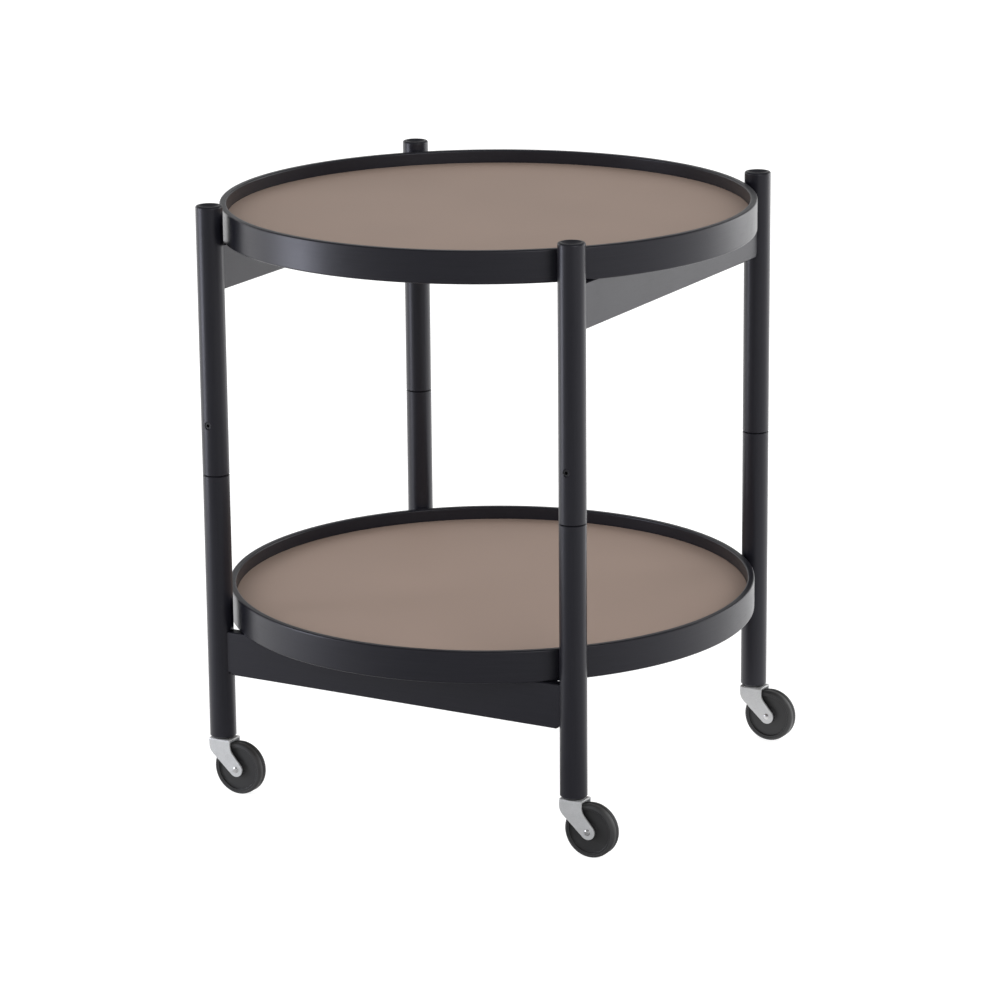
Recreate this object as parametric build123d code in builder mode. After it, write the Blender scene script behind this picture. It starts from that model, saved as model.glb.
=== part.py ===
from build123d import *
from math import asin, atan2, cos, hypot, sin, sqrt
import os

os.makedirs("parts", exist_ok=True)

# A round serving trolley: two trays on a frame of four legs and four boards, on casters.
# Millimetres, +Z up, origin on the floor under the middle of the trays.
# Front is -Y and right is +X.

# Trays
tray_diameter = 500
rim_thickness = 6.5
rim_height = 30
rim_edge_round = 1.5
core_thickness = 4
laminate_thickness = 0.5
panel_groove_depth = 3
panel_clearance = 0.1
laminate_clearance = 0.1

# Legs, each of two halves that turn on a steel rod
leg_diameter = 25
lower_leg_length = 254.7
upper_leg_length = 253.2
leg_to_tray_gap = 2.7
leg_top_round = 2
leg_foot_chamfer = 1
dish_diameter = 19
dish_depth = 3
dish_lip_round = 0.5
seam_chamfer = 0.5

# Boards, let into the legs
board_thickness = 12
board_depth = 42
board_edge_round = 1.5
board_corner_round = 3
shoulder_gap = 0.2
mortise_depth = 8
lower_board_height = 104.5
upper_board_drop = 38.5

# Pivot rods across the seams, and what holds them
rod_diameter = 8
rod_in_lower_leg = 50
rod_in_upper_leg = 56
rod_end_chamfer = 0.6
rod_hole_extra_depth = 1
running_clearance = 0.08
seam_washer_diameter = 20
seam_washer_thickness = 0.6
grub_screw_height = 48
grub_screw_diameter = 6
grub_screw_recess = 1
grub_point_diameter = 3.6
grub_point_clearance = 0.3
grub_countersink_depth = 0.9
hex_socket_width = 3
hex_socket_depth = 3
rod_groove_depth = 1
cutter_overshoot = 1

# Caster sockets, stems and forks
wheel_diameter = 50
wheel_top_clearance = 1.2
sheet_thickness = 1.8
thrust_washer_thickness = 1
thrust_washer_diameter = 20
flange_thickness = 0.5
flange_diameter = 20
sleeve_diameter = 11
sleeve_length = 38
sleeve_hole_extra_depth = 2
stem_diameter = 8
stem_length = 34
stem_end_chamfer = 0.8
stem_head_diameter = 11
stem_head_thickness = 1.5
washer_bore_clearance = 0.15
clip_thickness = 1.2
clip_diameter = 9.2
clip_below_stem_end = 5
clip_slot = 2
clip_clearance = 0.2
stem_groove_depth = 0.7
caster_trail = 18.5
fork_plate_length = 22.7
fork_plate_centre = 1.15
fork_back_knee_drop = 11.6
fork_front_knee_drop = 10.1
fork_knee_round = 12
fork_bend_round = 2
arm_end_radius = 7

# Wheels and their axles
tyre_width = 13
tyre_thickness = 3
tyre_shoulder_round = 2.5
tyre_side_clearance = 1.2
tyre_rib_width = 4
tyre_rib_height = 1
core_ring_width = 12.4
core_ring_thickness = 1.8
core_web_width = 8.6
hub_diameter = 15
hub_side_clearance = 0.3
axle_diameter = 5
axle_head_diameter = 6.2
axle_head_thickness = 1.1
axle_head_round = 0.9

# Heights and places worked out from the sizes above
leg_radius = leg_diameter / 2
tray_radius = tray_diameter / 2
rod_radius = rod_diameter / 2
rod_bore_radius = rod_radius + running_clearance
stem_radius = stem_diameter / 2
axle_height = wheel_diameter / 2
fork_top = wheel_diameter + wheel_top_clearance + sheet_thickness
flange_bottom = fork_top + thrust_washer_thickness
leg_foot = flange_bottom + flange_thickness
seam_bottom = leg_foot + lower_leg_length
seam_top = seam_bottom + seam_washer_thickness
leg_top = seam_top + upper_leg_length
lower_board_top = leg_foot + lower_board_height
upper_board_top = leg_top - upper_board_drop
leg_circle_radius = tray_radius + leg_to_tray_gap + leg_radius
leg_offset = leg_circle_radius / sqrt(2)
tenon_height = board_depth - board_corner_round
mortise_floor = leg_radius - mortise_depth
panel_thickness = core_thickness + 2 * laminate_thickness
panel_inset = (rim_height - panel_thickness) / 2
groove_radius = tray_radius - rim_thickness + panel_groove_depth
panel_radius = groove_radius - panel_clearance
laminate_radius = tray_radius - rim_thickness - laminate_clearance
fork_inner_half = tyre_width / 2 + tyre_side_clearance
fork_outer_half = fork_inner_half + sheet_thickness
stem_top = leg_foot + stem_length
clip_bottom = stem_top - clip_below_stem_end
wheel_core_radius = wheel_diameter / 2 - tyre_thickness

corners = {
    "front_left": (-1, -1),
    "front_right": (1, -1),
    "rear_right": (1, 1),
    "rear_left": (-1, 1),
}


def leg_place(corner):
    """Where the axis of a corner's leg stands on the floor."""
    side_x, side_y = corners[corner]
    return side_x * leg_offset, side_y * leg_offset


def round_bar(corner, radius, bottom, height, mode=Mode.ADD):
    """Adds or cuts an upright cylinder on the axis of a corner's leg."""
    with BuildSketch(Plane.XY.offset(bottom)) as disc:
        with Locations(leg_place(corner)):
            Circle(radius)
    extrude(disc.sketch, amount=height, mode=mode)


def outer_circle(part, index):
    """The widest circular edge at the bottom, index 0, or at the top, index -1."""
    level = part.edges().filter_by(GeomType.CIRCLE).group_by(Axis.Z)[index]
    return level.sort_by(SortBy.LENGTH)[-1]


def finish(part, name):
    """Labels a finished piece and writes it."""
    part.label = name
    export_step(part, f"parts/{name}.step")


def mortise(corner, along, board_top):
    """Cuts the pocket for a board's tenon, on the side that faces the other leg."""
    x, y = leg_place(corner)
    side_x, side_y = corners[corner]
    reach = leg_diameter - mortise_floor
    middle = mortise_floor + reach / 2
    if along == "x":
        place, width, length = (x - side_x * middle, y), reach, board_thickness
    else:
        place, width, length = (x, y - side_y * middle), board_thickness, reach
    with BuildSketch(Plane.XY.offset(board_top - tenon_height)) as pocket:
        with Locations(place):
            Rectangle(width, length)
    extrude(pocket.sketch, amount=tenon_height, mode=Mode.SUBTRACT)


def lower_leg(corner):
    """Lower half of a leg: caster hole below, rod hole above, mortise for its board."""
    with BuildPart() as leg:
        round_bar(corner, leg_radius, leg_foot, lower_leg_length)
        chamfer(outer_circle(leg, 0), leg_foot_chamfer)
        chamfer(outer_circle(leg, -1), seam_chamfer)
        hole_depth = sleeve_length + sleeve_hole_extra_depth
        round_bar(corner, sleeve_diameter / 2, leg_foot, hole_depth, Mode.SUBTRACT)
        rod_hole = rod_in_lower_leg + rod_hole_extra_depth
        round_bar(corner, rod_radius, seam_bottom - rod_hole, rod_hole, Mode.SUBTRACT)
        mortise(corner, "x", lower_board_top)
    finish(leg.part, f"{corner}_lower_leg")


def screw_plane(corner):
    """Upright plane at the grub screw's height, on the leg's axis, facing out of the leg."""
    x, y = leg_place(corner)
    side_y = corners[corner][1]
    height = seam_top + grub_screw_height
    return Plane(origin=(x, y, height), x_dir=(1, 0, 0), z_dir=(0, side_y, 0))


def upper_leg(corner):
    """Upper half of a leg: dished top, rod hole below, screw hole facing away from its board."""
    x, y = leg_place(corner)
    with BuildPart() as leg:
        round_bar(corner, leg_radius, seam_top, upper_leg_length)
        fillet(outer_circle(leg, -1), leg_top_round)
        chamfer(outer_circle(leg, 0), seam_chamfer)
        dish_radius = ((dish_diameter / 2) ** 2 + dish_depth**2) / (2 * dish_depth)
        with Locations((x, y, leg_top - dish_depth + dish_radius)):
            Sphere(dish_radius, mode=Mode.SUBTRACT)
        lip = leg.edges().filter_by(GeomType.CIRCLE).group_by(Axis.Z)[-1].sort_by(SortBy.LENGTH)[0]
        fillet(lip, dish_lip_round)
        rod_hole = rod_in_upper_leg + rod_hole_extra_depth
        round_bar(corner, rod_bore_radius, seam_top, rod_hole, Mode.SUBTRACT)
        mortise(corner, "y", upper_board_top)
        with BuildSketch(screw_plane(corner)):
            Circle(grub_screw_diameter / 2)
        extrude(amount=leg_diameter, mode=Mode.SUBTRACT)
        cone_height = grub_countersink_depth + cutter_overshoot
        with Locations(screw_plane(corner).offset(leg_radius - grub_countersink_depth)):
            Cone(
                grub_screw_diameter / 2,
                grub_screw_diameter / 2 + cone_height,
                cone_height,
                align=(Align.CENTER, Align.CENTER, Align.MIN),
                mode=Mode.SUBTRACT,
            )
    finish(leg.part, f"{corner}_upper_leg")


def board(name, plane, top):
    """A board between two legs: full depth to its shoulders, then a tenon into each leg."""
    shoulder = leg_offset - leg_radius - shoulder_gap
    tenon_end = leg_offset - mortise_floor
    with BuildPart() as piece:
        with BuildSketch(plane) as outline:
            with Locations((0, top - board_depth / 2)):
                Rectangle(2 * shoulder, board_depth)
            fillet(outline.vertices().group_by(Axis.Y)[0], board_corner_round)
            with Locations((0, top - tenon_height / 2)):
                Rectangle(2 * tenon_end, tenon_height)
        extrude(amount=board_thickness / 2, both=True)
        along = piece.edges().filter_by(Axis(plane.origin, plane.x_dir))
        levels = along.group_by(Axis.Z)
        fillet(levels[-1] + levels[0], board_edge_round)
    finish(piece.part, name)


def pivot_rods(name, pair):
    """Steel rods pressed into two lower legs, each with a groove for its grub screw."""
    length = rod_in_lower_leg + seam_washer_thickness + rod_in_upper_leg
    groove_width = grub_point_diameter + 2 * grub_point_clearance
    groove_bottom = seam_top + grub_screw_height - groove_width / 2
    with BuildPart() as rods:
        for corner in pair:
            round_bar(corner, rod_radius, seam_bottom - rod_in_lower_leg, length)
        ends = rods.edges().filter_by(GeomType.CIRCLE)
        chamfer(ends, rod_end_chamfer)
        for corner in pair:
            with BuildSketch(Plane.XY.offset(groove_bottom)):
                with Locations(leg_place(corner)):
                    Circle(rod_radius + cutter_overshoot)
                    Circle(rod_radius - rod_groove_depth, mode=Mode.SUBTRACT)
            extrude(amount=groove_width, mode=Mode.SUBTRACT)
    finish(rods.part, name)


def seam_washers(name, pair):
    """Thin washers that part the two halves of each leg."""
    with BuildPart() as washers:
        for corner in pair:
            round_bar(corner, seam_washer_diameter / 2, seam_bottom, seam_washer_thickness)
        for corner in pair:
            bore = rod_radius + washer_bore_clearance
            round_bar(corner, bore, seam_bottom, seam_washer_thickness, Mode.SUBTRACT)
    finish(washers.part, name)


def grub_screws(name, pair):
    """Grub screws whose points run in the rods' grooves."""
    outer_end = leg_radius - grub_screw_recess
    point_tip = rod_radius - rod_groove_depth + grub_point_clearance
    shank_start = rod_bore_radius + grub_point_clearance
    with BuildPart() as screws:
        for corner in pair:
            with BuildSketch(screw_plane(corner).offset(point_tip)):
                Circle(grub_point_diameter / 2)
            extrude(amount=outer_end - point_tip)
            with BuildSketch(screw_plane(corner).offset(shank_start)):
                Circle(grub_screw_diameter / 2)
            extrude(amount=outer_end - shank_start)
            with BuildSketch(screw_plane(corner).offset(outer_end - hex_socket_depth)):
                RegularPolygon(hex_socket_width / 2, 6, major_radius=False)
            extrude(amount=hex_socket_depth, mode=Mode.SUBTRACT)
    finish(screws.part, name)


def tray(name, bottom):
    """A reversible tray: a bent hoop, a core let into its groove, and a laminate on each side."""
    panel_bottom = bottom + panel_inset
    groove_bottom = panel_bottom + laminate_thickness
    with BuildPart() as rim:
        with BuildSketch(Plane.XY.offset(bottom)):
            Circle(tray_radius)
            Circle(tray_radius - rim_thickness, mode=Mode.SUBTRACT)
        extrude(amount=rim_height)
        fillet(rim.edges().filter_by(GeomType.CIRCLE), rim_edge_round)
        with BuildSketch(Plane.XY.offset(groove_bottom)):
            Circle(groove_radius)
        extrude(amount=core_thickness, mode=Mode.SUBTRACT)
    finish(rim.part, f"{name}_rim")
    layers = {
        "bottom_laminate": (laminate_radius, laminate_thickness),
        "core": (panel_radius, core_thickness),
        "top_laminate": (laminate_radius, laminate_thickness),
    }
    layer_bottom = panel_bottom
    for layer_name, (radius, thickness) in layers.items():
        with BuildPart() as layer:
            with BuildSketch(Plane.XY.offset(layer_bottom)):
                Circle(radius)
            extrude(amount=thickness)
        finish(layer.part, f"{name}_{layer_name}")
        layer_bottom += thickness


def socket_sleeve(corner):
    """Flanged sleeve pressed into the foot of a leg, with a groove inside for the stem's clip."""
    bore_radius = stem_radius + running_clearance
    groove_bottom = clip_bottom - clip_clearance
    groove_height = clip_thickness + 2 * clip_clearance
    with BuildPart() as sleeve:
        round_bar(corner, flange_diameter / 2, flange_bottom, flange_thickness)
        round_bar(corner, sleeve_diameter / 2, leg_foot, sleeve_length)
        whole_height = flange_thickness + sleeve_length
        round_bar(corner, bore_radius, flange_bottom, whole_height, Mode.SUBTRACT)
        clip_room = clip_diameter / 2 + clip_clearance
        round_bar(corner, clip_room, groove_bottom, groove_height, Mode.SUBTRACT)
    finish(sleeve.part, f"{corner}_socket_sleeve")


def caster_stem(corner):
    """Swivel stem, headed under the fork's plate and grooved near its top for the clip."""
    plate_underside = fork_top - sheet_thickness
    head_bottom = plate_underside - stem_head_thickness
    with BuildPart() as stem:
        round_bar(corner, stem_radius, head_bottom, stem_top - head_bottom)
        chamfer(outer_circle(stem, -1), stem_end_chamfer)
        round_bar(corner, stem_head_diameter / 2, head_bottom, stem_head_thickness)
        with BuildSketch(Plane.XY.offset(clip_bottom)):
            with Locations(leg_place(corner)):
                Circle(stem_radius + cutter_overshoot)
                Circle(stem_radius - stem_groove_depth, mode=Mode.SUBTRACT)
        extrude(amount=clip_thickness, mode=Mode.SUBTRACT)
    finish(stem.part, f"{corner}_caster_stem")


def stem_clip(corner):
    """Split ring in the stem's groove."""
    x, y = leg_place(corner)
    with BuildPart() as clip:
        round_bar(corner, clip_diameter / 2, clip_bottom, clip_thickness)
        inner_radius = stem_radius - stem_groove_depth
        round_bar(corner, inner_radius, clip_bottom, clip_thickness, Mode.SUBTRACT)
        with BuildSketch(Plane.XY.offset(clip_bottom)):
            with Locations((x + clip_diameter / 2, y)):
                Rectangle(clip_diameter, clip_slot)
        extrude(amount=clip_thickness, mode=Mode.SUBTRACT)
    finish(clip.part, f"{corner}_stem_clip")


def thrust_washer(corner):
    """Black washer between the fork's plate and the sleeve's flange."""
    with BuildPart() as washer:
        round_bar(corner, thrust_washer_diameter / 2, fork_top, thrust_washer_thickness)
        bore = stem_radius + washer_bore_clearance
        round_bar(corner, bore, fork_top, thrust_washer_thickness, Mode.SUBTRACT)
    finish(washer.part, f"{corner}_thrust_washer")


def tangent_point(from_x, from_z, side):
    """Where a line from a knee of the fork touches the round end of its arm."""
    span_x = from_x - caster_trail
    span_z = from_z - axle_height
    turn = side * asin(arm_end_radius / hypot(span_x, span_z))
    reach = sqrt(span_x**2 + span_z**2 - arm_end_radius**2)
    heading = atan2(-span_z, -span_x) + turn
    return from_x + reach * cos(heading), from_z + reach * sin(heading)


def caster_fork(corner):
    """Pressed steel fork: a plate under the leg, and a cheek on each side of the wheel."""
    x, y = leg_place(corner)
    side_view = Plane(origin=(x, y, 0), x_dir=(1, 0, 0), z_dir=(0, -1, 0))
    back = fork_plate_centre - fork_plate_length / 2
    front = fork_plate_centre + fork_plate_length / 2
    back_knee = fork_top - fork_back_knee_drop
    front_knee = fork_top - fork_front_knee_drop
    lower_tangent = tangent_point(back, back_knee, -1)
    upper_tangent = tangent_point(front, front_knee, 1)
    arm_end = (caster_trail + arm_end_radius, axle_height)
    plate_underside = fork_top - sheet_thickness
    channel_length = 2 * (caster_trail + arm_end_radius + cutter_overshoot)
    with BuildPart() as fork:
        with BuildSketch(side_view) as cheek:
            with BuildLine():
                Polyline(
                    lower_tangent,
                    (back, back_knee),
                    (back, fork_top),
                    (front, fork_top),
                    (front, front_knee),
                    upper_tangent,
                )
                ThreePointArc(upper_tangent, arm_end, lower_tangent)
            make_face()
            knees = cheek.vertices().sort_by(Axis.Y)[-4:-2]
            fillet(knees, fork_knee_round)
        extrude(amount=fork_outer_half, both=True)
        top_edges = fork.edges().filter_by(Axis.X).group_by(Axis.Z)[-1]
        fillet(top_edges, fork_bend_round)
        with BuildSketch(side_view):
            with Locations((0, plate_underside / 2)):
                Rectangle(channel_length, plate_underside)
        extrude(amount=fork_inner_half, both=True, mode=Mode.SUBTRACT)
        round_bar(corner, stem_radius, plate_underside, sheet_thickness, Mode.SUBTRACT)
        with BuildSketch(side_view):
            with Locations((caster_trail, axle_height)):
                Circle(axle_diameter / 2)
        extrude(amount=fork_outer_half, both=True, mode=Mode.SUBTRACT)
    finish(fork.part, f"{corner}_caster_fork")


def axle_plane(corner):
    """Plane through a wheel's axle, drawn as distance along the axle and distance from it."""
    x, y = leg_place(corner)
    return Plane(origin=(x + caster_trail, y, axle_height), x_dir=(0, 1, 0), z_dir=(1, 0, 0))


def spin_profile(corner, points):
    """Turns a closed profile about a wheel's axle."""
    plane = axle_plane(corner)
    with BuildSketch(plane) as profile:
        with BuildLine():
            Polyline(*points, close=True)
        make_face()
    revolve(profile.sketch, axis=Axis(plane.origin, plane.x_dir))


def mirrored(points):
    """A profile's right half, from its inside to its outside, followed by its left half."""
    return points + [(-along, out) for along, out in reversed(points)]


def axle_rivet(corner):
    """Rivet through both cheeks, on which the wheel runs."""
    tip = fork_outer_half + axle_head_thickness
    head = [(tip, 0), (tip, axle_head_diameter / 2), (fork_outer_half, axle_head_diameter / 2)]
    shank = [(fork_outer_half, axle_diameter / 2)]
    with BuildPart() as rivet:
        spin_profile(corner, mirrored(head + shank))
        heads = rivet.edges().filter_by(GeomType.CIRCLE)
        rims = heads.group_by(Axis.Y)
        fillet(rims[0] + rims[-1], axle_head_round)
    finish(rivet.part, f"{corner}_axle_rivet")


def wheel_core(corner):
    """Moulded wheel centre: hub, flat web and a ring with a rib for the tyre."""
    bore = axle_diameter / 2 + running_clearance
    hub_half = fork_inner_half - hub_side_clearance
    ring_inside = wheel_core_radius - core_ring_thickness
    half = [
        (hub_half, bore),
        (hub_half, hub_diameter / 2),
        (core_web_width / 2, hub_diameter / 2),
        (core_web_width / 2, ring_inside),
        (core_ring_width / 2, ring_inside),
        (core_ring_width / 2, wheel_core_radius),
        (tyre_rib_width / 2, wheel_core_radius),
        (tyre_rib_width / 2, wheel_core_radius + tyre_rib_height),
    ]
    with BuildPart() as core:
        spin_profile(corner, mirrored(half))
    finish(core.part, f"{corner}_wheel_core")


def tyre(corner):
    """Tyre with rounded shoulders, keyed onto the rib of the wheel centre."""
    half = [
        (tyre_rib_width / 2, wheel_core_radius + tyre_rib_height),
        (tyre_rib_width / 2, wheel_core_radius),
        (tyre_width / 2, wheel_core_radius),
        (tyre_width / 2, wheel_diameter / 2),
    ]
    with BuildPart() as ring:
        spin_profile(corner, mirrored(half))
        tread_edges = ring.edges().filter_by(GeomType.CIRCLE).sort_by(SortBy.RADIUS)[-2:]
        fillet(tread_edges, tyre_shoulder_round)
    finish(ring.part, f"{corner}_tyre")


for corner in corners:
    lower_leg(corner)
    upper_leg(corner)
    socket_sleeve(corner)
    caster_stem(corner)
    stem_clip(corner)
    thrust_washer(corner)
    caster_fork(corner)
    axle_rivet(corner)
    wheel_core(corner)
    tyre(corner)

for side, y in {"front": -leg_offset, "rear": leg_offset}.items():
    across = Plane(origin=(0, y, 0), x_dir=(1, 0, 0), z_dir=(0, -1, 0))
    board(f"{side}_lower_board", across, lower_board_top)
    pair = [f"{side}_left", f"{side}_right"]
    pivot_rods(f"{side}_pivot_rods", pair)
    seam_washers(f"{side}_seam_washers", pair)

for side, x in {"left": -leg_offset, "right": leg_offset}.items():
    lengthwise = Plane(origin=(x, 0, 0), x_dir=(0, 1, 0), z_dir=(1, 0, 0))
    board(f"{side}_upper_board", lengthwise, upper_board_top)
    grub_screws(f"{side}_grub_screws", [f"front_{side}", f"rear_{side}"])

tray("lower_tray", lower_board_top)
tray("upper_tray", upper_board_top)
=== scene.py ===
from math import asin, atan2, cos, pi, radians, sin, sqrt, tan

import bmesh
import bpy
from mathutils import Matrix, Vector
from mathutils.geometry import delaunay_2d_cdt


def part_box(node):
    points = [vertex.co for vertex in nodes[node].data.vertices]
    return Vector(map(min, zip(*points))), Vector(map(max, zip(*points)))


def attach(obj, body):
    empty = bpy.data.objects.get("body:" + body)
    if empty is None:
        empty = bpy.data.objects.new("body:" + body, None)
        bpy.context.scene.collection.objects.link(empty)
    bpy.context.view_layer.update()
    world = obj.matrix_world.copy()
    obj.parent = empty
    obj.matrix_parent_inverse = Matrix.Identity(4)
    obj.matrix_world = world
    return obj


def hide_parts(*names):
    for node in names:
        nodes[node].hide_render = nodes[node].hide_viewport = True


# A round serving trolley: two trays in bent hoops on a frame of four turned legs, on casters.
# Metres, +Z up, front is -Y and right is +X. Sizes come from the frame or are named here.

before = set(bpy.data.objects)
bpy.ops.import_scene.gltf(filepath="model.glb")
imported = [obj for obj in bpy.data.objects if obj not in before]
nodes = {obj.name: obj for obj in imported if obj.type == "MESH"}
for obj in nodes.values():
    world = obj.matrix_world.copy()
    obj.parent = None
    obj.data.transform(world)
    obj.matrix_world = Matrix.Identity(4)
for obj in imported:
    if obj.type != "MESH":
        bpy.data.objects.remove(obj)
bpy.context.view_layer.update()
corners = ("front_left", "front_right", "rear_right", "rear_left")
trays = ("upper_tray", "lower_tray")

mm = 0.001

# Sizes that the pieces made here share with the solids
rim_thickness = 6.5 * mm
rim_edge_round = 1.5 * mm
groove_depth = 3 * mm
laminate_thickness = 0.5 * mm
axle_radius = 2.5 * mm
axle_clearance = 0.08 * mm
axle_head_thickness = 1.1 * mm
stem_radius = 4 * mm
hub_radius = 7.5 * mm
web_half = 4.3 * mm
ring_half = 6.2 * mm
ring_thickness = 1.8 * mm
rib_half = 2 * mm
rib_height = 1 * mm
sheet_thickness = 1.8 * mm
fork_bend_radius = 1.1 * mm
fork_plate_length = 22.7 * mm
fork_back_knee_drop = 11.6 * mm
fork_front_knee_drop = 10.1 * mm
fork_knee_round = 12 * mm
arm_end_radius = 7 * mm

# Fine edges
laminate_edge_round = 0.15 * mm
hub_edge_round = 0.6 * mm
hub_foot_round = 0.5 * mm
ring_foot_round = 0.6 * mm
ring_edge_round = 0.4 * mm
ring_seat_round = 0.1 * mm
tyre_side_round = 0.4 * mm
tyre_shoulder_round = 2.5 * mm
parting_line = 0.12 * mm
rivet_rim = 0.2 * mm
sheet_edge_round = 0.22 * mm

# Notches round the hub
notches = 12
notch_depth = 0.45 * mm
notch_start = -0.2
notch_full = 0.8
notch_inner_reach = 1 * mm
notch_outer_reach = 0.1 * mm

# How finely the pieces are made
tray_steps = 360
wheel_steps = 192
tyre_steps = 144
rivet_steps = 64
dome_steps = 10
corner_steps = 5
laminate_corner_steps = 2
tyre_corner_steps = 7
knee_steps = 8
arm_end_steps = 28
hole_steps = 32
fork_bend_steps = 6
fork_bend_columns = 9
sheet_edge_steps = 2
corner_hold = 0.35 * mm
wheel_corner_hold = 0.2 * mm
laminate_corner_hold = 0.5 * mm
largest_hold_share = 0.4
weld_distance = 1e-6
fill_tolerance = 1e-7
sharp_edge = radians(50)
flat_face_limit = 0.9995

# The numbers of two axes, and the turn that lays an upright axis along Y
up_axis = 2
depth_axis = 1
sideways_turn = (-pi / 2, 0, 0)

# Colours, as a darker and a paler tone
lacquer_tones = (0.0042, 0.0042, 0.0072), (0.0072, 0.0072, 0.0106)
taupe_tones = (0.305, 0.226, 0.184), (0.327, 0.243, 0.199)
zinc_tones = (0.46, 0.465, 0.47), (0.64, 0.645, 0.65)
bright_steel_tones = (0.60, 0.60, 0.61), (0.74, 0.74, 0.75)
rivet_steel_tones = (0.46, 0.46, 0.465), (0.58, 0.58, 0.585)
black_steel_tones = (0.030, 0.030, 0.032), (0.060, 0.060, 0.064)
washer_tones = (0.010, 0.010, 0.011), (0.018, 0.018, 0.019)
wheel_tones = (0.011, 0.011, 0.012), (0.020, 0.020, 0.021)
tyre_tones = (0.020, 0.020, 0.021), (0.036, 0.036, 0.037)
plywood_tones = (0.36, 0.25, 0.14), (0.52, 0.40, 0.26)

# Shine
lacquer_roughness = 0.29, 0.36
lacquer_pore_roughness = 0.06
lacquer_ior = 1.46
lacquer_tint = (0.94, 0.93, 1.0, 1)
laminate_roughness = 0.66, 0.74
laminate_specular = 0.25
zinc_roughness = 0.42, 0.54
zinc_metallic = 0.6
plywood_roughness = 0.7

# Grain, as waves per metre across and along the wood
grain_across = 900
grain_along = 22

# Noises, as scale, detail and roughness
fibre_noise = 1.0, 6.0, 0.6
pore_noise = 2.6, 2.0, 0.5
lacquer_cloud_noise = 14.0, 3.0
orange_peel_noise = 700.0, 2.0
laminate_cloud_noise = 9.0, 3.0
laminate_speck_noise = 2600.0, 2.0, 0.7
zinc_cloud_noise = 120.0, 4.0
zinc_brush_noise = 2600.0, 3.0
steel_cloud_noise = 420.0, 4.0
rubbed_noise = 90.0, 5.0, 0.6
plywood_noise = 0.6, 5.0

# Parts of such noises, and scales of cells
spark_detail = 3.0
spark_roughness = 0.6
tool_line_scale = 2500.0
pebble_scale = 1500.0
crystal_scale = 1500.0

# The lowest and the highest value of a noise that count
noise_span = 0.3, 0.7
pore_span = 0.56, 0.68
zinc_span = 0.2, 0.8
rubbed_span = 0.35, 0.75

# Shares of two noises in a colour
laminate_shares = 0.6, 0.4
zinc_shares = 0.35, 0.65
plastic_shares = 0.7, 0.3

# Reliefs, as strength and depth
fibre_relief = 0.10, 0.12 * mm
pore_relief = 0.12, 0.05 * mm
orange_peel_relief = 0.05, 0.08 * mm
pebble_relief = 0.25, 0.05 * mm
laminate_speck_relief = 0.15, 0.02 * mm
zinc_brush_relief = 0.20, 0.02 * mm
zinc_cloud_relief = 0.10, 0.06 * mm
tool_line_relief = 0.15, 0.03 * mm
spark_depth = 0.06 * mm


# Node trees

class Tree:
    """Adds nodes to a node tree and links them."""

    def __init__(self, tree):
        self.tree = tree

    def add(self, kind, values=None, **settings):
        """A new node with these settings, and values or sockets for its inputs."""
        node = self.tree.nodes.new(kind)
        for key, value in settings.items():
            setattr(node, key, value)
        for key, value in (values or {}).items():
            self.feed(node.inputs[key], value)
        return node

    def feed(self, socket, value):
        """Links a socket to this input, or sets the input to this value."""
        if isinstance(value, bpy.types.NodeSocket):
            self.tree.links.new(value, socket)
        else:
            socket.default_value = value

    def math(self, operation, first, second=0.0):
        """The result of one sum on numbers or sockets."""
        return self.add("ShaderNodeMath", {0: first, 1: second}, operation=operation).outputs[0]

    def spread(self, value, low, high, to_low, to_high, smooth=False):
        """The value, held between low and high, and stretched from to_low to to_high."""
        names = ("Value", "From Min", "From Max", "To Min", "To Max")
        kind = "SMOOTHSTEP" if smooth else "LINEAR"
        values = dict(zip(names, (value, low, high, to_low, to_high)))
        return self.add("ShaderNodeMapRange", values, interpolation_type=kind).outputs["Result"]


def linked(name, data):
    """A new object with this data, in the scene."""
    made = bpy.data.objects.new(name, data)
    bpy.context.scene.collection.objects.link(made)
    return made


# Turned pieces

TURN_INPUTS = {
    "Steps": ("NodeSocketInt", 96),
    "Centre": ("NodeSocketVector", (0, 0, 0)),
    "Turn of Axis": ("NodeSocketRotation", (0, 0, 0)),
    "Notches": ("NodeSocketInt", 0),
    "Notch Depth": ("NodeSocketFloat", 0.0),
    "Finish": ("NodeSocketMaterial", None),
}


def profile_value(tree, given, value, row, kind):
    """A value of the profile's point with this number."""
    return tree.add(
        "GeometryNodeSampleIndex",
        {"Geometry": given["Profile"], "Value": value, "Index": row},
        data_type=kind,
    ).outputs["Value"]


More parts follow.
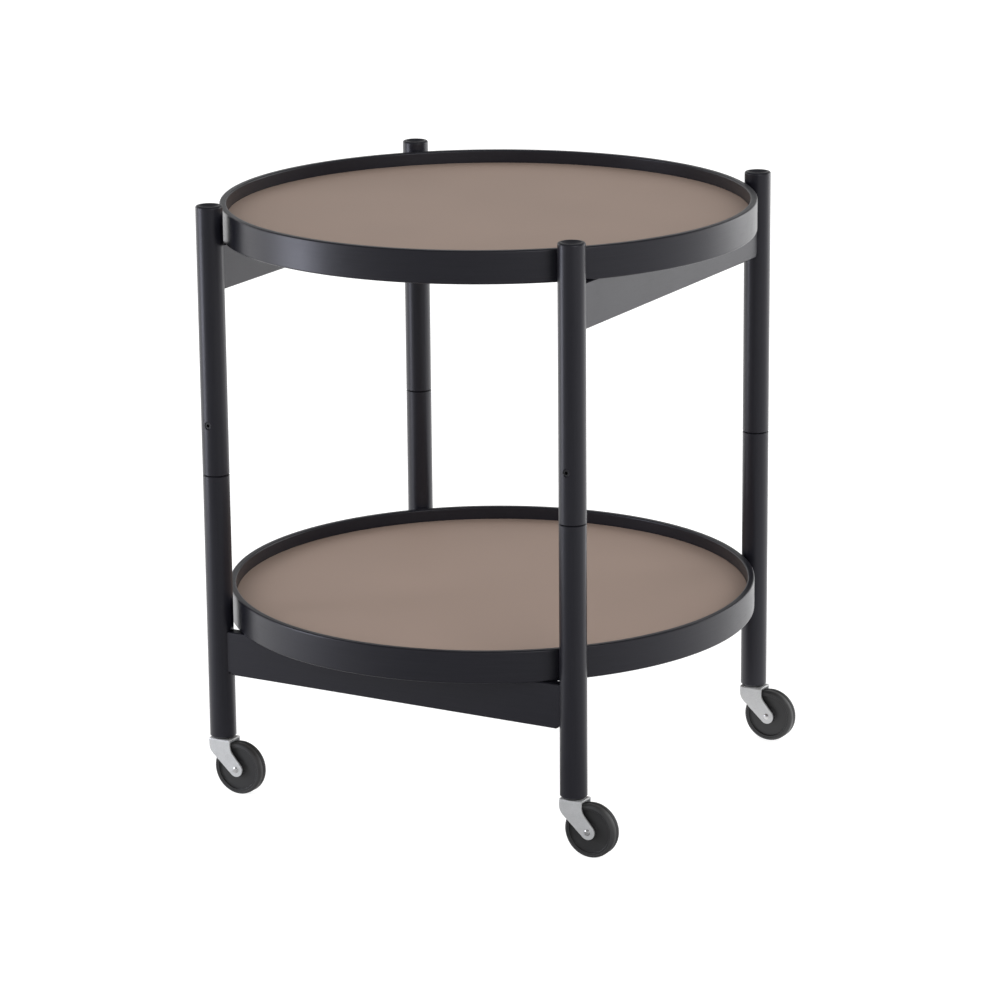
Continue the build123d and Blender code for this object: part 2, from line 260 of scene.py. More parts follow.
def turning_tree():
    """Geometry Nodes tree that turns a profile of radius and height about an upright axis."""
    group = bpy.data.node_groups.new("turned piece", "GeometryNodeTree")
    face = group.interface
    face.new_socket("Profile", in_out="INPUT", socket_type="NodeSocketGeometry")
    for name, (kind, value) in TURN_INPUTS.items():
        socket = face.new_socket(name, in_out="INPUT", socket_type=kind)
        if value is not None:
            socket.default_value = value
    face.new_socket("Piece", in_out="OUTPUT", socket_type="NodeSocketGeometry")
    tree = Tree(group)
    given = tree.add("NodeGroupInput").outputs
    count = tree.add(
        "GeometryNodeAttributeDomainSize", {"Geometry": given["Profile"]}, component="MESH"
    ).outputs["Point Count"]
    columns = tree.math("ADD", given["Steps"], 1)
    grid = tree.add("GeometryNodeMeshGrid", {"Vertices X": columns, "Vertices Y": count})
    index = tree.add("GeometryNodeInputIndex").outputs[0]
    # Half a point more keeps the whole part of the division exact
    inside = tree.math("ADD", index, 0.5)
    column = tree.math("FLOOR", tree.math("DIVIDE", inside, count))
    row = tree.math("SUBTRACT", index, tree.math("MULTIPLY", column, count))
    place = tree.add("GeometryNodeInputPosition").outputs[0]
    point = profile_value(tree, given, place, row, "FLOAT_VECTOR")
    drawn = tree.add("ShaderNodeSeparateXYZ", {0: point}).outputs
    marked = tree.add("GeometryNodeInputNamedAttribute", {"Name": "notched"}, data_type="FLOAT")
    share = profile_value(tree, given, marked.outputs["Attribute"], row, "FLOAT")
    angle = tree.math("DIVIDE", tree.math("MULTIPLY", column, 2 * pi), given["Steps"])
    wave = tree.math("COSINE", tree.math("MULTIPLY", angle, given["Notches"]))
    hollow = tree.spread(wave, notch_start, notch_full, 0.0, 1.0, smooth=True)
    depth = tree.math("MULTIPLY", tree.math("MULTIPLY", hollow, share), given["Notch Depth"])
    radius = tree.math("SUBTRACT", drawn["X"], depth)
    upright = tree.add("ShaderNodeCombineXYZ", {
        "X": tree.math("MULTIPLY", radius, tree.math("COSINE", angle)),
        "Y": tree.math("MULTIPLY", radius, tree.math("SINE", angle)),
        "Z": drawn["Z"],
    }).outputs[0]
    laid = tree.add(
        "FunctionNodeRotateVector", {"Vector": upright, "Rotation": given["Turn of Axis"]}
    ).outputs[0]
    there = tree.add("ShaderNodeVectorMath", {0: laid, 1: given["Centre"]}, operation="ADD")
    moved = tree.add(
        "GeometryNodeSetPosition",
        {"Geometry": grid.outputs["Mesh"], "Position": there.outputs["Vector"]},
    ).outputs[0]
    closed = tree.add(
        "GeometryNodeMergeByDistance", {"Geometry": moved, "Distance": weld_distance}
    ).outputs[0]
    smooth = tree.add("GeometryNodeSetShadeSmooth", {0: closed, 2: True}).outputs[0]
    real = tree.add("GeometryNodeRealizeInstances", {0: smooth}).outputs[0]
    finished = tree.add(
        "GeometryNodeSetMaterial", {"Geometry": real, "Material": given["Finish"]}
    ).outputs[0]
    tree.add("NodeGroupOutput", {"Piece": finished})
    return group


turning = turning_tree()


def set_inputs(modifier, values):
    """Sets a Geometry Nodes modifier's inputs, by the sockets' identifiers."""
    for item in modifier.node_group.interface.items_tree:
        if item.item_type == "SOCKET" and item.in_out == "INPUT" and item.name in values:
            modifier[item.identifier] = values[item.name]


def outwards(mesh):
    """Turns the faces of closed shells outwards."""
    work = bmesh.new()
    work.from_mesh(mesh)
    bmesh.ops.recalc_face_normals(work, faces=work.faces)
    work.to_mesh(mesh)
    work.free()


def made_plain(draft, name):
    """A new object with the draft's finished mesh, its faces outwards, in place of the draft."""
    graph = bpy.context.evaluated_depsgraph_get()
    mesh = bpy.data.meshes.new_from_object(draft.evaluated_get(graph))
    bpy.data.objects.remove(draft)
    outwards(mesh)
    mesh.name = name
    return linked(name, mesh)


def turned(name, profile, finish, values, notched=None):
    """A piece turned from a profile of radius and height, with these inputs of the tree.

    Notched says for each point whether the notches reach it."""
    mesh = bpy.data.meshes.new(name)
    count = len(profile)
    mesh.from_pydata(
        [(radius, 0, height) for radius, height in profile],
        [(index, index + 1) for index in range(count - 1)],
        [],
    )
    marks = mesh.attributes.new("notched", "FLOAT", "POINT")
    for index, mark in enumerate(notched or [False] * count):
        marks.data[index].value = 1.0 if mark else 0.0
    draft = linked(f"{name}_profile", mesh)
    modifier = draft.modifiers.new("turning", "NODES")
    modifier.node_group = turning
    set_inputs(modifier, {"Finish": finish, **values})
    return made_plain(draft, name)


def eased(points, radii, closed=False, hold=corner_hold, steps=corner_steps):
    """A profile with rounded corners, and a point near each end of its straight runs.

    The extra points keep the shading of a flat face flat up to its rounded edges."""
    places = [Vector(point) for point in points]
    count = len(places)
    angles, backs = [], []
    for index, (place, radius) in enumerate(zip(places, radii)):
        before = (places[index - 1] - place).normalized()
        after = (places[(index + 1) % count] - place).normalized()
        half = before.angle(after) / 2
        sharp = radius <= 0 or (not closed and index in (0, count - 1))
        angles.append((before, after, half))
        backs.append(0.0 if sharp else radius / tan(half))

    def held(first, second):
        """How far from its corners the run between two corners is held straight."""
        run = (places[second] - places[first]).length - backs[first] - backs[second]
        return min(hold, largest_hold_share * run)

    outline = []
    for index, place in enumerate(places):
        before, after, half = angles[index]
        if backs[index] == 0.0:
            outline.append(place)
            continue
        centre = place + (before + after).normalized() * radii[index] / sin(half)
        start, end = place + before * backs[index], place + after * backs[index]
        first, last = start - centre, end - centre
        sweep = (pi - 2 * half) * (1 if first.x * last.y > first.y * last.x else -1)
        turns = [Matrix.Rotation(sweep * step / steps, 2) for step in range(steps + 1)]
        arc = [centre + turn @ first for turn in turns]
        if hold:
            arc.insert(0, start + before * held(index - 1, index))
            arc.append(end + after * held(index, (index + 1) % count))
        outline += arc
    if closed:
        outline.append(outline[0].copy())
    return [tuple(place) for place in outline]


def mirrored(half):
    """Half a profile of radius, height and more, with its mirror image below the middle."""
    return half + [(radius, -height, *more) for radius, height, *more in reversed(half)]


def wheel_profile(half, steps=corner_steps):
    """A closed profile from half of it, as points of radius, height and rounding."""
    loop = mirrored(half)
    points, rounds = [point[:2] for point in loop], [point[2] for point in loop]
    return eased(points, rounds, closed=True, hold=wheel_corner_hold, steps=steps)


# Finishes

def finish_of(name):
    """A new material with its tree and its shader."""
    material = bpy.data.materials.new(name)
    material.use_nodes = True
    tree = Tree(material.node_tree)
    return material, tree, material.node_tree.nodes["Principled BSDF"]


def object_place(tree):
    """The place on the piece."""
    return tree.add("ShaderNodeTexCoord").outputs["Object"]


def noise(tree, vector, scale, detail=4.0, roughness=0.55):
    """Soft noise of this scale at the vector."""
    values = {"Vector": vector, "Scale": scale, "Detail": detail, "Roughness": roughness}
    return tree.add("ShaderNodeTexNoise", values).outputs["Fac"]


def swung(tree, value, low, high):
    """A noise's value, stretched so that it runs from low to high."""
    return tree.spread(value, *noise_span, low, high)


def coloured(tree, shader, share, tones):
    """Gives the shader a colour between two tones."""
    mix = tree.add("ShaderNodeMix", {"Factor": share}, data_type="RGBA")
    colours = [socket for socket in mix.inputs if socket.type == "RGBA"]
    for socket, tone in zip(colours, tones):
        socket.default_value = (*tone, 1)
    blend = next(socket for socket in mix.outputs if socket.type == "RGBA")
    tree.feed(shader.inputs["Base Color"], blend)


def bumped(tree, height, relief, under=None):
    """A bump of this height and relief, on top of another one."""
    strength, depth = relief
    values = {"Height": height, "Strength": strength, "Distance": depth}
    if under is not None:
        values["Normal"] = under
    return tree.add("ShaderNodeBump", values).outputs["Normal"]


def grain_place(tree, grain):
    """The place on the piece, drawn out along the grain of its wood."""
    place = object_place(tree)
    if grain == "hoop":
        part = tree.add("ShaderNodeSeparateXYZ", {0: place}).outputs
        squares = [tree.math("POWER", part[axis], 2) for axis in ("X", "Y")]
        out = tree.math("SQRT", tree.math("ADD", *squares))
        place = tree.add("ShaderNodeCombineXYZ", {
            "X": part["X"], "Y": part["Y"], "Z": tree.math("ADD", part["Z"], out),
        }).outputs[0]
    stretch = {
        "hoop": (grain_along, grain_along, grain_across),
        "upright": (grain_across, grain_across, grain_along),
        "sideways": (grain_along, grain_across, grain_across),
        "lengthwise": (grain_across, grain_along, grain_across),
    }[grain]
    return tree.add("ShaderNodeMapping", {"Vector": place, "Scale": stretch}).outputs[0]


def lacquered_wood(grain):
    """Black satin lacquer on beech: pores and grain just show through as relief."""
    material, tree, shader = finish_of(f"black lacquer, {grain} grain")
    along = grain_place(tree, grain)
    place = object_place(tree)
    fibres = noise(tree, along, *fibre_noise)
    pores = tree.spread(noise(tree, along, *pore_noise), *pore_span, 0.0, 1.0)
    cloud = noise(tree, place, *lacquer_cloud_noise)
    orange_peel = noise(tree, place, *orange_peel_noise)
    coloured(tree, shader, swung(tree, fibres, 0.0, 1.0), lacquer_tones)
    dull_pores = tree.math("MULTIPLY", pores, lacquer_pore_roughness)
    dull = tree.math("ADD", swung(tree, cloud, *lacquer_roughness), dull_pores)
    tree.feed(shader.inputs["Roughness"], dull)
    grain_relief = bumped(tree, fibres, fibre_relief)
    pits = tree.math("SUBTRACT", 1.0, pores)
    pitted = bumped(tree, pits, pore_relief, grain_relief)
    tree.feed(shader.inputs["Normal"], bumped(tree, orange_peel, orange_peel_relief, pitted))
    shader.inputs["IOR"].default_value = lacquer_ior
    shader.inputs["Specular Tint"].default_value = lacquer_tint
    return material


def taupe_laminate():
    """Matt taupe laminate: a very fine pebbled press texture and faint cloudiness."""
    material, tree, shader = finish_of("matt taupe laminate")
    place = object_place(tree)
    cloud = noise(tree, place, *laminate_cloud_noise)
    speck = noise(tree, place, *laminate_speck_noise)
    pebble = tree.add(
        "ShaderNodeTexVoronoi", {"Vector": place, "Scale": pebble_scale}, feature="SMOOTH_F1"
    )
    cloud_share, speck_share = laminate_shares
    shade = tree.math(
        "ADD", swung(tree, cloud, 0.0, cloud_share), swung(tree, speck, 0.0, speck_share)
    )
    coloured(tree, shader, shade, taupe_tones)
    tree.feed(shader.inputs["Roughness"], swung(tree, cloud, *laminate_roughness))
    pebbled = bumped(tree, pebble.outputs["Distance"], pebble_relief)
    tree.feed(shader.inputs["Normal"], bumped(tree, speck, laminate_speck_relief, pebbled))
    shader.inputs["Specular IOR Level"].default_value = laminate_specular
    return material


def zinc_plate():
    """Satin zinc plating: fine crystals, small press marks and a soft brushed relief."""
    material, tree, shader = finish_of("satin zinc plate")
    place = object_place(tree)
    crystals = tree.add("ShaderNodeTexVoronoi", {"Vector": place, "Scale": crystal_scale})
    tone = tree.add("ShaderNodeSeparateColor", {0: crystals.outputs["Color"]}).outputs[0]
    cloud = noise(tree, place, *zinc_cloud_noise)
    tone_share, cloud_share = zinc_shares
    share = tree.math(
        "ADD", tree.math("MULTIPLY", tone, tone_share), tree.math("MULTIPLY", cloud, cloud_share)
    )
    coloured(tree, shader, share, zinc_tones)
    tree.feed(shader.inputs["Roughness"], tree.spread(share, *zinc_span, *zinc_roughness))
    brushed = bumped(tree, noise(tree, place, *zinc_brush_noise), zinc_brush_relief)
    tree.feed(shader.inputs["Normal"], bumped(tree, cloud, zinc_cloud_relief, brushed))
    shader.inputs["Metallic"].default_value = zinc_metallic
    return material


def plain_steel(name, tones, roughness):
    """Turned steel with fine tool lines and small variations of shine."""
    material, tree, shader = finish_of(name)
    place = object_place(tree)
    cloud = noise(tree, place, *steel_cloud_noise)
    coloured(tree, shader, cloud, tones)
    tree.feed(shader.inputs["Roughness"], swung(tree, cloud, *roughness))
    lines = noise(tree, place, tool_line_scale)
    tree.feed(shader.inputs["Normal"], bumped(tree, lines, tool_line_relief))
    shader.inputs["Metallic"].default_value = 1.0
    return material


def black_plastic(name, tones, roughness, spark_scale, relief):
    """Moulded black plastic or rubber: a fine spark texture and rubbed, slightly paler patches."""
    material, tree, shader = finish_of(name)
    place = object_place(tree)
    rubbed = noise(tree, place, *rubbed_noise)
    spark = noise(tree, place, spark_scale, spark_detail, spark_roughness)
    rubbed_share, spark_share = plastic_shares
    share = tree.math(
        "ADD",
        tree.spread(rubbed, *rubbed_span, 0.0, rubbed_share),
        tree.math("MULTIPLY", spark, spark_share),
    )
    coloured(tree, shader, share, tones)
    tree.feed(shader.inputs["Roughness"], swung(tree, rubbed, *roughness))
    tree.feed(shader.inputs["Normal"], bumped(tree, spark, (relief, spark_depth)))
    return material


def bare_plywood():
    """Bare plywood of the panels' cores, inside the trays."""
    material, tree, shader = finish_of("bare plywood")
    place = grain_place(tree, "sideways")
    coloured(tree, shader, noise(tree, place, *plywood_noise), plywood_tones)
    shader.inputs["Roughness"].default_value = plywood_roughness
    return material


wood = {grain: lacquered_wood(grain) for grain in ("hoop", "upright", "sideways", "lengthwise")}
laminate = taupe_laminate()
zinc = zinc_plate()
bright_steel = plain_steel("bright turned steel", bright_steel_tones, roughness=(0.17, 0.29))
rivet_steel = plain_steel("polished steel", rivet_steel_tones, roughness=(0.19, 0.31))
black_steel = plain_steel("blackened steel", black_steel_tones, roughness=(0.33, 0.45))
washer_plastic = black_plastic(
    "washer plastic", washer_tones, roughness=(0.45, 0.56), spark_scale=1800.0, relief=0.2
)
wheel_plastic = black_plastic(
    "wheel plastic", wheel_tones, roughness=(0.42, 0.53), spark_scale=1500.0, relief=0.25
)
tyre_rubber = black_plastic(
    "tyre rubber", tyre_tones, roughness=(0.47, 0.58), spark_scale=1100.0, relief=0.35
)
plywood = bare_plywood()

NODE_FINISHES = {
    "_leg": wood["upright"],
    "_lower_board": wood["sideways"],
    "_upper_board": wood["lengthwise"],
    "_rim": wood["hoop"],
    "_laminate": laminate,
    "_core": plywood,
    "_wheel_core": wheel_plastic,
    "_tyre": tyre_rubber,
    "_fork": zinc,
    "_sleeve": black_steel,
    "_rods": bright_steel,
    "_stem": bright_steel,
    "_clip": bright_steel,
    "_rivet": rivet_steel,
    "_seam_washers": washer_plastic,
    "_thrust_washer": washer_plastic,
    "_grub_screws": black_steel,
}

for name, node in nodes.items():
    for ending, finish in NODE_FINISHES.items():
        if name.endswith(ending):
            node.data.materials.clear()
            node.data.materials.append(finish)


# Trays and wheels

def stands_for(piece, body, slot, *names):
    """The piece moves with this body and hides these solids. The slot is not used."""
    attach(piece, body)
    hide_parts(*names)


def hoop(tray):
    """A tray's bent wooden hoop, rounded on its four edges and grooved inside for the panel."""
    low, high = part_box(f"{tray}_rim")
    core_low, core_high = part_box(f"{tray}_core")
    outer = high.x
    inner = outer - rim_thickness
    groove = inner + groove_depth
    laminate_top = core_high.z + laminate_thickness
    laminate_bottom = core_low.z - laminate_thickness
    points = [
        (outer, low.z), (outer, high.z), (inner, high.z),
        (inner, laminate_top), (inner, core_high.z), (groove, core_high.z),
        (groove, core_low.z), (inner, core_low.z), (inner, laminate_bottom),
        (inner, low.z),
    ]
    rounds = [rim_edge_round] * 3 + [0] * 6 + [rim_edge_round]
    outline = eased(points, rounds, closed=True)
    piece = turned(f"{tray}_hoop", outline, wood["hoop"], {"Steps": tray_steps})
    stands_for(piece, tray, "black_lacquered_wood", f"{tray}_rim")


def laminate_sheet(tray, side):
    """A laminate on one side of a tray's core, its edge eased."""
    name = f"{tray}_{side}_laminate"
    low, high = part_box(name)
    points = [(0, low.z), (high.x, low.z), (high.x, high.z), (0, high.z)]
    rounds = [0, laminate_edge_round, laminate_edge_round, 0]
    outline = eased(points, rounds, hold=laminate_corner_hold, steps=laminate_corner_steps)
    piece = turned(f"{tray}_{side}_sheet", outline, laminate, {"Steps": tray_steps})
    stands_for(piece, tray, "taupe_laminate", name)


def wheel_sizes(name):
    """The middle, half width and radius of a round solid on a caster's axle."""
    low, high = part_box(name)
    return (low + high) / 2, (high.y - low.y) / 2, (high.z - low.z) / 2


def wheel_centre(corner):
    """Moulded wheel centre: a notched hub on a flat web, in a ring with a rib for the tyre."""
    middle, hub_half, rib_radius = wheel_sizes(f"{corner}_wheel_core")
    ring_outside = rib_radius - rib_height
    ring_inside = ring_outside - ring_thickness
    outline = wheel_profile([
        (axle_radius + axle_clearance, hub_half, 0),
        (hub_radius, hub_half, hub_edge_round),
        (hub_radius, web_half, hub_foot_round),
        (ring_inside, web_half, ring_foot_round),
        (ring_inside, ring_half, ring_edge_round),
        (ring_outside, ring_half, ring_seat_round),
        (ring_outside, rib_half, 0),
        (rib_radius, rib_half, 0),
    ])
    notch_inside = hub_radius - notch_inner_reach
    notch_outside = hub_radius + notch_outer_reach
    notched = [
        notch_inside < radius < notch_outside and abs(height) > web_half
        for radius, height in outline
    ]
    values = {
        "Steps": wheel_steps, "Centre": middle, "Turn of Axis": sideways_turn,
        "Notches": notches, "Notch Depth": notch_depth,
    }
    piece = turned(f"{corner}_wheel_centre", outline, wheel_plastic, values, notched)
    stands_for(piece, f"{corner}_wheel", "black_wheel_plastic", f"{corner}_wheel_core")


def soft_tyre(corner):
    """A tyre with soft shoulders and a fine parting line round the middle of its tread."""
    middle, half_width, radius = wheel_sizes(f"{corner}_tyre")
    rib_radius = wheel_sizes(f"{corner}_wheel_core")[2]
    ring_radius = rib_radius - rib_height
    outline = wheel_profile([
        (rib_radius, rib_half, 0),
        (ring_radius, rib_half, 0),
        (ring_radius, half_width, tyre_side_round),
        (radius, half_width, tyre_shoulder_round),
        (radius, 2 * parting_line, 0),
        (radius - parting_line, parting_line, 0),
    ], tyre_corner_steps)
    values = {"Steps": tyre_steps, "Centre": middle, "Turn of Axis": sideways_turn}
    piece = turned(f"{corner}_soft_tyre", outline, tyre_rubber, values)
    stands_for(piece, f"{corner}_wheel", "tyre_rubber", f"{corner}_tyre")


def domed_rivet(corner):
    """The rivet a wheel runs on, with a domed head outside each cheek."""
    middle, tip, head = wheel_sizes(f"{corner}_axle_rivet")
    cheek = tip - axle_head_thickness
    rise = tip - cheek - rivet_rim
    ball = (head**2 + rise**2) / (2 * rise)
    sweep = asin(head / ball)
    turns = [sweep * step / dome_steps for step in range(dome_steps + 1)]
    dome = [(ball * sin(turn), tip - ball + ball * cos(turn)) for turn in turns]
    outline = mirrored(dome + [(head, cheek), (axle_radius, cheek)])
    values = {"Steps": rivet_steps, "Centre": middle, "Turn of Axis": sideways_turn}
    piece = turned(f"{corner}_domed_rivet", outline, rivet_steel, values)
    stands_for(piece, f"{corner}_caster", "bright_steel", f"{corner}_axle_rivet")


# Forks

def touching(knee, centre, side):
    """Where a line from a knee touches the round end of the fork's arm."""
    span = Vector(knee) - centre
    turn = side * asin(arm_end_radius / span.length)
    reach = sqrt(span.length**2 - arm_end_radius**2)
    heading = atan2(-span.y, -span.x) + turn
    return Vector(knee) + reach * Vector((cos(heading), sin(heading)))


def cheek_outline(back, front, top, bend_bottom, axle):
    """A cheek's outline from the back of its bend down round the axle and up to the front."""
    back_knee = (back, top - fork_back_knee_drop)
    front_knee = (front, top - fork_front_knee_drop)
    lower = touching(back_knee, axle, -1)
    upper = touching(front_knee, axle, 1)
    start = atan2(lower.y - axle.y, lower.x - axle.x)
    end = atan2(upper.y - axle.y, upper.x - axle.x)
    if end < start:
        end += 2 * pi
    turns = [start + (end - start) * step / arm_end_steps for step in range(arm_end_steps + 1)]
    arc = [tuple(axle + arm_end_radius * Vector((cos(turn), sin(turn)))) for turn in turns]
    points = [(back, bend_bottom), back_knee, *arc, front_knee, (front, bend_bottom)]
    rounds = [0, fork_knee_round] + [0] * len(arc) + [fork_knee_round, 0]
    return eased(points, rounds, hold=0, steps=knee_steps)


def filled(work, outline, hole, up):
    """Fills the space between an outline and a hole, drawn on X and the axis up, with faces."""
    points = outline + hole
    first = len(outline)
    borders = [(index, (index + 1) % first) for index in range(first)]
    borders += [(first + index, first + (index + 1) % len(hole)) for index in range(len(hole))]
    flat = [(point.co.x, point.co[up]) for point in points]
    inside_only = 1
    triangles, sources = delaunay_2d_cdt(flat, borders, [], inside_only, fill_tolerance)[2:4]
    for triangle in triangles:
        picked = [sources[index][0] for index in triangle]
        if min(picked) < first:
            work.faces.new([points[index] for index in picked])


def hole_edge(work, centre, radius, up):
    """The points round a hole, drawn on X and the axis up."""
    across, along = Vector((1, 0, 0)), Vector((0, 0, 0))
    along[up] = 1
    turns = [2 * pi * step / hole_steps for step in range(hole_steps)]
    places = [centre + radius * (cos(turn) * across + sin(turn) * along) for turn in turns]
    return [work.verts.new(place) for place in places]


def fork_sheet(corner):
    """The middle of a fork's sheet, as a mesh: a plate, two bends and two cheeks."""
    low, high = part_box(f"{corner}_caster_fork")
    wheel_low, wheel_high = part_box(f"{corner}_wheel_core")
    stem_low, stem_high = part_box(f"{corner}_caster_stem")
    axis_x, axis_y = (stem_low.x + stem_high.x) / 2, (low.y + high.y) / 2
    axle = Vector(((wheel_low.x + wheel_high.x) / 2, (wheel_low.z + wheel_high.z) / 2))
    half = (high.y - low.y) / 2 - sheet_thickness / 2
    top = high.z - sheet_thickness / 2
    bend_bottom = top - fork_bend_radius
    plate_half = half - fork_bend_radius
    outline = cheek_outline(low.x, low.x + fork_plate_length, high.z, bend_bottom, axle)
    back, front = outline[0][0], outline[-1][0]
    length, columns = front - back, range(fork_bend_columns + 1)
    row_x = [back + length * column / fork_bend_columns for column in columns]
    work = bmesh.new()
    plate_edges = []
    for side in (-1, 1):
        rows = []
        for step in range(fork_bend_steps + 1):
            turn = pi / 2 * step / fork_bend_steps
            across = plate_half + fork_bend_radius * cos(turn)
            height = bend_bottom + fork_bend_radius * sin(turn)
            rows.append([work.verts.new((x, axis_y + side * across, height)) for x in row_x])
        for below, above in zip(rows, rows[1:]):
            for index in range(fork_bend_columns):
                after = index + 1
                work.faces.new((below[index], below[after], above[after], above[index]))
        y = axis_y + side * half
        edge = [work.verts.new((x, y, z)) for x, z in outline[1:-1]]
        hole = hole_edge(work, Vector((axle.x, y, axle.y)), axle_radius, up_axis)
        filled(work, rows[0][:1] + edge + rows[0][::-1][:-1], hole, up_axis)
        plate_edges.append(rows[-1])
    hole = hole_edge(work, Vector((axis_x, axis_y, top)), stem_radius, depth_axis)
    filled(work, plate_edges[0] + plate_edges[1][::-1], hole, depth_axis)
    bmesh.ops.recalc_face_normals(work, faces=work.faces)
    mesh = bpy.data.meshes.new(f"{corner}_fork_draft")
    work.to_mesh(mesh)
    work.free()
    return mesh


def folded_fork(corner):
    """Pressed fork folded from one sheet, with fine rounded edges."""
    mesh = fork_sheet(corner)
    mesh.materials.append(zinc)
    draft = linked(f"{corner}_fork_draft", mesh)
    sheet = draft.modifiers.new("sheet", "SOLIDIFY")
    sheet.thickness = sheet_thickness
    sheet.offset = 0
    sheet.use_even_offset = True
    edges = draft.modifiers.new("edges", "BEVEL")
    edges.width = sheet_edge_round
    edges.segments = sheet_edge_steps
    edges.limit_method = "ANGLE"
    edges.angle_limit = sharp_edge
    edges.loop_slide = False
    piece = made_plain(draft, f"{corner}_folded_fork")
    for face in piece.data.polygons:
        face.use_smooth = max(abs(face.normal.y), abs(face.normal.z)) < flat_face_limit
    stands_for(piece, f"{corner}_caster", "zinc_plated_steel", f"{corner}_caster_fork")


for tray in trays:
    hoop(tray)
    laminate_sheet(tray, "top")
    laminate_sheet(tray, "bottom")

for corner in corners:
    wheel_centre(corner)
    soft_tyre(corner)
    domed_rivet(corner)
    folded_fork(corner)


# Stage

# Where the photograph was taken from
distance = 3.7096
eye_height = 1.2674
azimuth = 29.279
pitch = 15.163
yaw = -0.128
roll = -0.514
lens = 145.745
film_width = 36.0
sight_length = 100

# Floor
floor_size = 60
floor_albedo = 0.45
floor_glow = 0.80
dark_bearing = 21
bright_heading = -0.3
dark_heading = 0.95

# Room, with the angles above the level where its light changes
white = (1, 1, 1, 1)
room_level = 1.7
room_level_above = 0.1
room_level_angles = 30, 60
room_sheen = 1.0
room_sheen_above = 0.3
room_sheen_angles = 2, 14

# Lamps
aim_height = 0.3
cool_white = (0.86, 0.89, 1.0)
neutral_white = (1, 1, 1)


def mirrored_rays(tree, ray):
    """One for a ray that comes from a mirror or through glass."""
    return tree.math("MAXIMUM", ray["Is Glossy Ray"], ray["Is Transmission Ray"])


def white_floor():
    """White floor that shows white to the camera and keeps a faint shadow.

    In reflections it is bright behind the trolley and dark at one bearing in front of it.
    From below it is clear."""
    material = bpy.data.materials.new("white floor")
    material.use_nodes = True
    tree = Tree(material.node_tree)
    material.node_tree.nodes.clear()
    ray = tree.add("ShaderNodeLightPath").outputs
    part = tree.add("ShaderNodeSeparateXYZ", {0: object_place(tree)}).outputs
    turn = radians(dark_bearing)
    sideways = tree.math("MULTIPLY", part["X"], sin(turn))
    ahead = tree.math("SUBTRACT", sideways, tree.math("MULTIPLY", part["Y"], cos(turn)))
    away = tree.add("ShaderNodeVectorMath", {0: object_place(tree)}, operation="LENGTH")
    heading = tree.math("DIVIDE", ahead, away.outputs["Value"])
    sheen = tree.spread(heading, bright_heading, dark_heading, 1.0, 0.0)
    seen = tree.math("MULTIPLY", ray["Is Camera Ray"], floor_glow)
    reflected = tree.math("MULTIPLY", mirrored_rays(tree, ray), sheen)
    strength = tree.math("MAXIMUM", seen, reflected)
    shade = (floor_albedo, floor_albedo, floor_albedo, 1)
    diffuse = tree.add("ShaderNodeBsdfDiffuse", {"Color": shade}).outputs[0]
    emission = tree.add("ShaderNodeEmission", {"Strength": strength}).outputs[0]
    both = tree.add("ShaderNodeAddShader", {0: diffuse, 1: emission}).outputs[0]
    clear = tree.add("ShaderNodeBsdfTransparent").outputs[0]
    below = tree.add("ShaderNodeNewGeometry").outputs["Backfacing"]
    surface = tree.add("ShaderNodeMixShader", {0: below, 1: both, 2: clear}).outputs[0]
    tree.add("ShaderNodeOutputMaterial", {"Surface": surface})
    return material


def floor():
    """A wide flat floor under the wheels."""
    half = floor_size / 2
    places = [(-half, -half, 0), (half, -half, 0), (half, half, 0), (-half, half, 0)]
    mesh = bpy.data.meshes.new("floor")
    mesh.from_pydata(places, [], [(0, 1, 2, 3)])
    mesh.materials.append(white_floor())
    linked("floor", mesh)


def around(bearing, reach, height):
    """The place at this bearing from the front, this far from the trolley's axis."""
    turn = radians(bearing)
    return Vector((sin(turn) * reach, -cos(turn) * reach, height))


def softbox(name, bearing, reach, height, width, tall, brightness, colour=neutral_white):
    """A soft rectangular lamp round the trolley that faces its middle."""
    light = bpy.data.lights.new(name, "AREA")
    light.shape = "RECTANGLE"
    light.size = width
    light.size_y = tall
    light.energy = brightness * pi * width * tall
    light.color = colour
    lamp = linked(name, light)
    lamp.location = around(bearing, reach, height)
    aim = Vector((0, 0, aim_height)) - lamp.location
    lamp.rotation_euler = aim.to_track_quat("-Z", "Y").to_euler()
    lamp.visible_camera = False


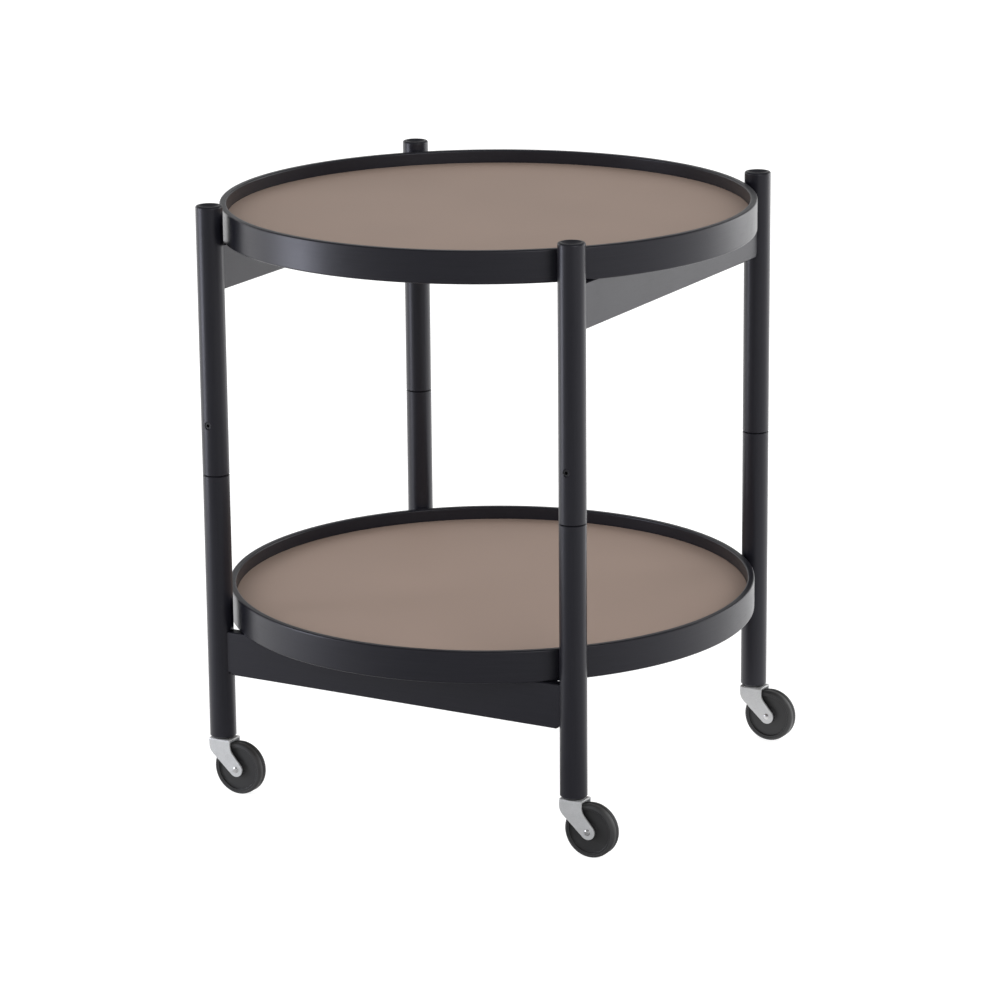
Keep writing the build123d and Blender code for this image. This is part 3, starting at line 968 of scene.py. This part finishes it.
def room_light():
    """White world behind the trolley, and a soft band of light round it.

    Mirror and glass rays see the white too, but less of it high up."""
    world = bpy.data.worlds.new("white room")
    bpy.context.scene.world = world
    world.use_nodes = True
    tree = Tree(world.node_tree)
    world.node_tree.nodes.clear()
    ray = tree.add("ShaderNodeLightPath").outputs
    seen = tree.math("MAXIMUM", ray["Is Camera Ray"], mirrored_rays(tree, ray))
    direction = tree.add("ShaderNodeTexCoord").outputs["Generated"]
    up = tree.add("ShaderNodeSeparateXYZ", {0: direction}).outputs["Z"]
    band_from, band_to = (sin(radians(angle)) for angle in room_level_angles)
    level = tree.spread(up, band_from, band_to, room_level, room_level_above, True)
    sheen_from, sheen_to = (sin(radians(angle)) for angle in room_sheen_angles)
    sheen = tree.spread(up, sheen_from, sheen_to, room_sheen, room_sheen_above, True)
    strength = tree.math("MAXIMUM", ray["Is Camera Ray"], sheen)
    view = tree.add("ShaderNodeBackground", {"Strength": strength, "Color": white}).outputs[0]
    band = tree.add("ShaderNodeBackground", {"Strength": level, "Color": white}).outputs[0]
    mixed = tree.add("ShaderNodeMixShader", {0: seen, 1: band, 2: view}).outputs[0]
    tree.add("ShaderNodeOutputWorld", {"Surface": mixed})


def camera():
    """The camera at the photograph's place."""
    data = bpy.data.cameras.new("camera")
    data.sensor_width = film_width
    data.lens = lens
    data.clip_end = sight_length
    eye = linked("camera", data)
    eye.location = around(azimuth, distance, eye_height)
    heading = Matrix.Rotation(radians(azimuth + yaw), 3, "Z")
    look = heading @ Matrix.Rotation(radians(90 - pitch), 3, "X")
    eye.rotation_euler = (look @ Matrix.Rotation(radians(roll), 3, "Z")).to_euler()
    bpy.context.scene.camera = eye


floor()
room_light()
softbox(
    "left softbox", bearing=-52, reach=1.5, height=0.45, width=0.5, tall=0.9,
    brightness=5.4, colour=cool_white,
)
softbox(
    "rear left softbox", bearing=-105, reach=2.2, height=0.8, width=1.2, tall=1.4,
    brightness=1.0,
)
softbox(
    "front right softbox", bearing=58, reach=2.0, height=1.1, width=1.2, tall=0.8,
    brightness=2.8,
)
softbox(
    "rear right softbox", bearing=150, reach=2.2, height=0.8, width=1.2, tall=1.4,
    brightness=1.95,
)
camera()
bpy.context.scene.view_settings.view_transform = "Standard"
